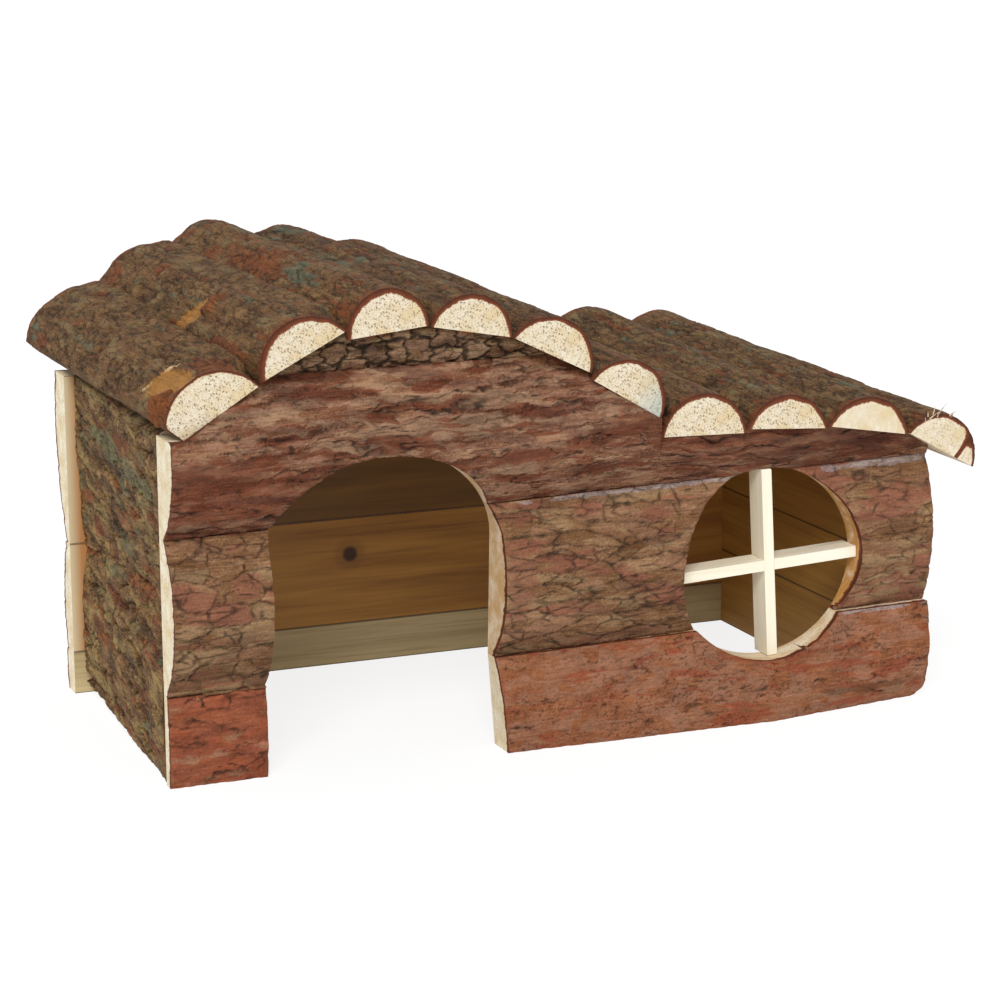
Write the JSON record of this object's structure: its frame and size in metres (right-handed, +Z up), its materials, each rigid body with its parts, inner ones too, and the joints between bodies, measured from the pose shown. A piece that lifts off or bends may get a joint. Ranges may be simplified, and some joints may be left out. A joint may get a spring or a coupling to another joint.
{
  "type": "rodent house",
  "caption": "Small-animal house of bark-faced wooden slabs with an arched doorway, a round window with a cross of laths and an uneven roof of half logs; open at the bottom.",
  "frame": {"origin": "centre of the whole house's bounding box in plan, at the floor that it stands on", "axes": "+X to the right along the front wall, +Y from the front to the back, +Z up"},
  "size_m": [0.312, 0.2084, 0.167],
  "materials": {
    "slab": "raw bark outside, sawn inside",
    "half_log": "raw bark, sawn ends",
    "lath": "planed",
    "brad": "bright drawn"
  },
  "bodies": {
    "root": {"front_post_lower": "slab", "front_post_middle": "slab", "front_sill_board": "slab", "front_middle_board": "slab", "front_corner_board": "slab", "front_upper_board": "slab", "front_gable_board": "slab", "back_bottom_board": "slab", "back_middle_board": "slab", "back_upper_board": "slab", "back_gable_board": "slab", "left_lower_slab": "slab", "left_upper_slab": "slab", "right_lower_slab": "slab", "right_middle_slab": "slab", "right_upper_slab": "slab", "roof_log_01": "half_log", "roof_log_02": "half_log", "roof_log_03": "half_log", "roof_log_04": "half_log", "roof_log_05": "half_log", "roof_log_06": "half_log", "roof_log_07": "half_log", "roof_log_08": "half_log", "roof_log_09": "half_log", "roof_log_10": "half_log", "window_upright": "lath", "window_crossbar": "lath", "roof_brads": "brad", "corner_brads": "brad"}
  },
  "joints": []
}
